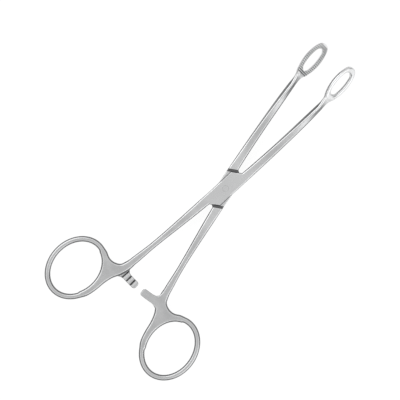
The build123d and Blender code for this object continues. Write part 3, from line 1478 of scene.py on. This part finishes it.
@dataclass(frozen=True)
class SteelMarks:
    """The marks from 0 to 1 on a half that its finish reads: wear with painted sheen, and painted shade.

    A pair of numbers says where a mark begins and over what run it grows or fades.
    """

    forging: ForcepsHalf
    feeler: float = 0.45
    askew: tuple[float, float, float] = (0.3, 0.1, 0.95)
    edge: tuple[float, float] = (0.015, 0.05)
    box_wear_and_sheen: float = 0.7
    box_fade: tuple[float, float] = (9, 5)
    jaw_wear_and_sheen: float = 0.6
    jaw_growth: tuple[float, float] = (64, 4)
    flat: float = 0.95
    flank_run: float = 0.15
    steep_flank: float = 0.5
    steep_run: float = 0.4
    jaw_flank: float = 0.1
    jaw_flank_fade: tuple[float, float] = (60, 6)
    sunk: tuple[float, float] = (0.03, 0.22)
    sunk_share: float = 0.6
    sunk_jaw_share: float = 0.3
    jaw_start: float = 60.0
    hollow: tuple[float, float] = (0.02, 0.06)
    hollow_share: float = 0.7
    shank_shade: float = 0.16
    shank_growth: tuple[float, float] = (16, 12)
    shank_fade: tuple[float, float] = (54, 5)
    seam_flat: float = 0.997
    seam_run: float = 0.08
    seam_share: float = 0.9
    seam_growth: float = 2.0
    seam_reach: float = 10.6
    seam_side: float = 0.8
    gap_depth: float = 2.0
    gap_margins: tuple[float, float] = (0.2, 0.1)
    rim: tuple[float, float] = (-0.4, 0.25)
    rim_share: float = 0.8
    rim_height: float = 0.75
    row_margin: float = 0.4
    mouth_slope: float = 3.0
    mouth_drop: float = 0.2
    cut_in: tuple[float, float] = (0.012, 0.05)
    jaw_cut_share: float = 0.1
    pin_reach: float = 2.5
    sharp_angle: float = 40.0

    def write(self, mesh: bpy.types.Mesh) -> None:
        """Writes the marks on a half's mesh and sets which of its edges look sharp.

        Args:
            mesh: The half's mesh.
        """
        own = self.forging.own_places(vectors(mesh.vertices, "co"))
        normal = vectors(mesh.vertices, "normal")
        around = self.around(own, normal * self.forging.flip())
        upright = np.abs(normal[:, 2])
        # Wear with painted sheen at the edges, painted shade in the recesses and on the flanks.
        write_mark(mesh, "wear_and_sheen", "POINT", self.wear_and_sheen(own, around))
        write_mark(mesh, "recess_shade", "POINT", self.recess_shade(own, around, upright))
        write_mark(mesh, "flank_shade", "POINT", self.flank_shade(own, upright))
        self.write_cuts(mesh)

    def around(self, own: np.ndarray, normal: np.ndarray) -> np.ndarray:
        """How far out of the steel the places beside each point lie.

        Args:
            own: Points on the half, in its own axes.
            normal: The direction out of the steel at each of them.

        Returns:
            The mean distance, above nought at a rounded edge and below it in a hollow.
        """
        tangent = np.cross(normal, self.askew)
        tangent /= np.maximum(np.linalg.norm(tangent, axis=1, keepdims=True), TINY)
        other = np.cross(normal, tangent)
        around = np.zeros(len(own))
        for way in (tangent, -tangent, other, -other):
            around += self.forging.at(own + self.feeler * way) / 4
        return around

    def wear_and_sheen(self, own: np.ndarray, around: np.ndarray) -> np.ndarray:
        """How much wear and painted sheen brighten the steel: painted highlights and wear at its edges,
        painted sheen round the box and on the jaws.

        Args:
            own: Points on the half, in its own axes.
            around: How far out of the steel the places beside each point lie.

        Returns:
            The mark at each point.
        """
        y = own[:, 1]
        # Painted highlight with wear at the edges; painted sheen lightens the box and the jaws.
        box = eased(self.box_wear_and_sheen, 0, ramp(np.abs(y), *self.box_fade))
        return np.maximum(ramp(around, *self.edge), box + eased(0, self.jaw_wear_and_sheen, ramp(y, *self.jaw_growth)))

    def flank_shade(self, own: np.ndarray, upright: np.ndarray) -> np.ndarray:
        """How much painted shade darkens each point's flank, less on a steep side and on a jaw.

        Args:
            own: Points on the half, in its own axes.
            upright: How far each point faces up or down.

        Returns:
            The mark at each point.
        """
        # Painted shade on the sides that slope away from the top.
        steep = self.steep_flank + (1 - self.steep_flank) * ramp(upright, 0, self.steep_run)
        side = ramp(self.flat - upright, 0, self.flank_run)
        return side * steep * eased(1.0, self.jaw_flank, ramp(own[:, 1], *self.jaw_flank_fade))

    def recess_shade(self, own: np.ndarray, around: np.ndarray, upright: np.ndarray) -> np.ndarray:
        """How much painted shade darkens each point.

        Args:
            own: Points on the half, in its own axes.
            around: How far out of the steel the places beside each point lie.
            upright: How far each point faces up or down.

        Returns:
            The darkest of all the shades that fall on each point.
        """
        # Painted shade in cuts and hollows, in the gap beside the cheeks, along the shanks, at the cheeks'
        # seams and at the grooves' ends.
        y = own[:, 1]
        sunk = ramp(-self.forging.at(own), *self.sunk)
        sunk *= np.where(y > self.jaw_start, self.sunk_jaw_share, self.sunk_share)
        hollow = ramp(-around, *self.hollow) * self.hollow_share
        shank = eased(0, self.shank_shade, ramp(np.abs(y), *self.shank_growth))
        shank = shank * eased(1, 0, ramp(y, *self.shank_fade))
        seam = self.seam_shade(own, upright)
        return np.maximum.reduce((sunk, hollow, self.gap_shade(own), shank, seam, self.grip_shade(own)))

    def grip_shade(self, own: np.ndarray) -> np.ndarray:
        """How dark the ends of the grip's grooves are at the jaw's rims.

        Args:
            own: Points on the half, in its own axes.

        Returns:
            The shade of each point.
        """
        jaw, grooves = self.forging.jaw, GripGrooves(self.forging.jaw)
        u, v, w = jaw.turned(*own.T)
        rim = ramp(jaw.band(u, v), *self.rim)
        steps = (v + (grooves.count() - 1) / 2 * grooves.pitch) / grooves.pitch
        low = w + jaw.thick / 2 < self.rim_height
        row = (steps > -self.row_margin) & (steps < grooves.count() - 1 + self.row_margin) & low
        open_end = np.clip(np.cos(2 * np.pi * steps) * self.mouth_slope - self.mouth_drop, 0, 1)
        return np.where(row, self.rim_share * rim * open_end, 0)

    def seam_shade(self, own: np.ndarray, upright: np.ndarray) -> np.ndarray:
        """How dark the cheeks' edges are where the other half comes out beside them.

        Args:
            own: Points on the half, in its own axes.
            upright: How far each point faces up or down.

        Returns:
            The shade of each point.
        """
        if self.forging.half is Half.MALE:
            return np.zeros(len(own))
        x, y, _ = own.T
        beside = (x * y < 0) & (np.abs(y) < self.seam_reach) & (np.abs(x) > self.seam_side)
        edge = ramp(self.seam_flat - upright, 0, self.seam_run) * ramp(np.abs(y), 0, self.seam_growth)
        return np.where(beside, self.seam_share * edge, 0)

    def gap_shade(self, own: np.ndarray) -> np.ndarray:
        """How dark each point is for lying in the gap beside the cheeks' ends.

        Args:
            own: Points on the half, in its own axes.

        Returns:
            The shade of each point.
        """
        if self.forging.half is Half.FEMALE:
            return np.zeros(len(own))
        x, y, z = own.T
        before, after = self.gap_margins
        along = self.forging.past_cheeks(x, y)
        inside = (along > -before) & (along < self.forging.shoulder_gap + after)
        inside &= np.abs(y) < self.forging.lock_reach
        return np.where(inside & (np.abs(z) < self.gap_depth), 1.0, 0.0)

    def write_cuts(self, mesh: bpy.types.Mesh) -> None:
        """Marks the faces that were cut into the forging with painted shade, and keeps their borders sharp.

        Args:
            mesh: The half's mesh.
        """
        own = self.forging.own_places(vectors(mesh.polygons, "center"))
        # Painted shade on the cut faces, weaker on the jaw and none round the pin.
        cut_in = ramp(-self.forging.at(own), *self.cut_in)
        shade = np.where(own[:, 1] > 0, self.jaw_cut_share, 1.0) * cut_in
        shade[np.hypot(own[:, 0], own[:, 1]) < self.pin_reach] = 0
        write_mark(mesh, "cut_shade", "FACE", shade)
        mesh.shade_smooth()
        mesh.set_sharp_from_angle(angle=math.radians(self.sharp_angle))
        is_cut = np.repeat(cut_in > 0.5, numbers(mesh.polygons, "loop_total"))
        edge_of = numbers(mesh.loops, "edge_index")
        cuts = np.bincount(edge_of, weights=is_cut, minlength=len(mesh.edges))
        border = np.empty(len(mesh.edges), bool)
        sharp = mesh.attributes["sharp_edge"].data
        sharp.foreach_get("value", border)
        border |= cuts == 1
        sharp.foreach_set("value", border)


@dataclass(frozen=True)
class Studio:
    """The white table, the soft lights and the camera above it."""

    look_across: float = -5.86
    look_along: float = -12.37
    height: float = 1092.0
    turn: float = 40.73
    lens: float = 200.0
    table_half: float = 1.6
    table_drop: float = 0.0001
    lamp_size: float = 1.2

    # Heights of a direction in the room, each with the level of the light from there.
    SKY = ((0.0, 0.28), (0.3, 0.34), (0.55, 0.85), (0.85, 0.95), (0.97, 0.64), (1.0, 0.6))
    # Each lamp's place in metres and its power in watts.
    LAMPS = {
        "left_light": ((-1.0, 0.15, 1.0), 4.5),
        "right_light": ((1.15, 0.0, 0.5), 4.6),
    }

    def table(self) -> None:
        """Lays the table under the instrument."""
        low = min(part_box(n)[0].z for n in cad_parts) - self.table_drop
        half = self.table_half
        mesh = bpy.data.meshes.new("table")
        plan = [(-half, -half), (half, -half), (half, half), (-half, half)]
        mesh.from_pydata([(x, y, low) for x, y in plan], [], [(0, 1, 2, 3)])
        mesh.materials.append(WhitePaper().material())
        added("table", mesh)

    def camera(self) -> None:
        """Hangs the camera, looking straight down."""
        data = bpy.data.cameras.new("camera")
        data.lens = self.lens
        data.sensor_width = 36
        data.clip_start, data.clip_end = 0.01, 20
        cam = added("camera", data)
        cam.location = (self.look_across * MM, self.look_along * MM, (self.height + MID) * MM)
        cam.rotation_euler = (0, 0, math.radians(self.turn))
        bpy.context.scene.camera = cam

    def lamp(self, name: str, place: tuple[float, float, float], power: float) -> None:
        """Hangs a soft square lamp that shines at the instrument.

        Args:
            name: Name of the lamp.
            place: Where it hangs, in metres.
            power: Its power in watts.
        """
        data = bpy.data.lights.new(name, "AREA")
        data.shape = "SQUARE"
        data.size = self.lamp_size
        data.energy = power
        lamp = added(name, data)
        lamp.location = place
        lamp.rotation_euler = (-Vector(place)).to_track_quat("-Z", "Y").to_euler()

    def world(self) -> None:
        """Makes the pale room, dimmer near the horizon and straight above."""
        world = bpy.data.worlds.new("studio")
        bpy.context.scene.world = world
        world.use_nodes = True
        nodes, links = world.node_tree.nodes, world.node_tree.links
        coords = nodes.new("ShaderNodeTexCoord")
        split = nodes.new("ShaderNodeSeparateXYZ")
        links.new(coords.outputs["Generated"], split.inputs[0])
        sky = nodes.new("ShaderNodeValToRGB")
        stops = sky.color_ramp.elements
        for place, _ in self.SKY[2:]:
            stops.new(place)
        for stop, (place, level) in zip(stops, self.SKY):
            stop.position = place
            stop.color = (level, level, level, 1)
        links.new(split.outputs["Z"], sky.inputs["Fac"])
        links.new(sky.outputs["Color"], nodes["Background"].inputs["Color"])

    def build(self) -> None:
        """Builds the studio."""
        self.table()
        self.camera()
        self.world()
        for name, (place, power) in self.LAMPS.items():
            self.lamp(name, place, power)
        bpy.context.scene.view_settings.view_transform = "Standard"


def main() -> None:
    """Builds the instrument and its studio."""
    logging.basicConfig(level=logging.INFO, format="%(name)s: %(message)s")
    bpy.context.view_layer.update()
    finish = SatinSteel().material()
    for half in Half:
        piece = ForcepsHalf(half).make(finish)
        log.info("%s has %d faces", piece.name, len(piece.data.polygons))
    # The pin's lighter colour and lower roughness copy the box's wear and painted sheen.
    pin_steel = SatinSteel(name="pin_steel", colour=(0.8, 0.805, 0.81), roughness=0.276)
    pin_finish = pin_steel.material()
    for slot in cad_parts["joint_pin"].material_slots:
        slot.material = pin_finish
    log.info("joint_pin has its finish")
    Studio().build()
    log.info("studio built")


if __name__ == "__main__":
    main()
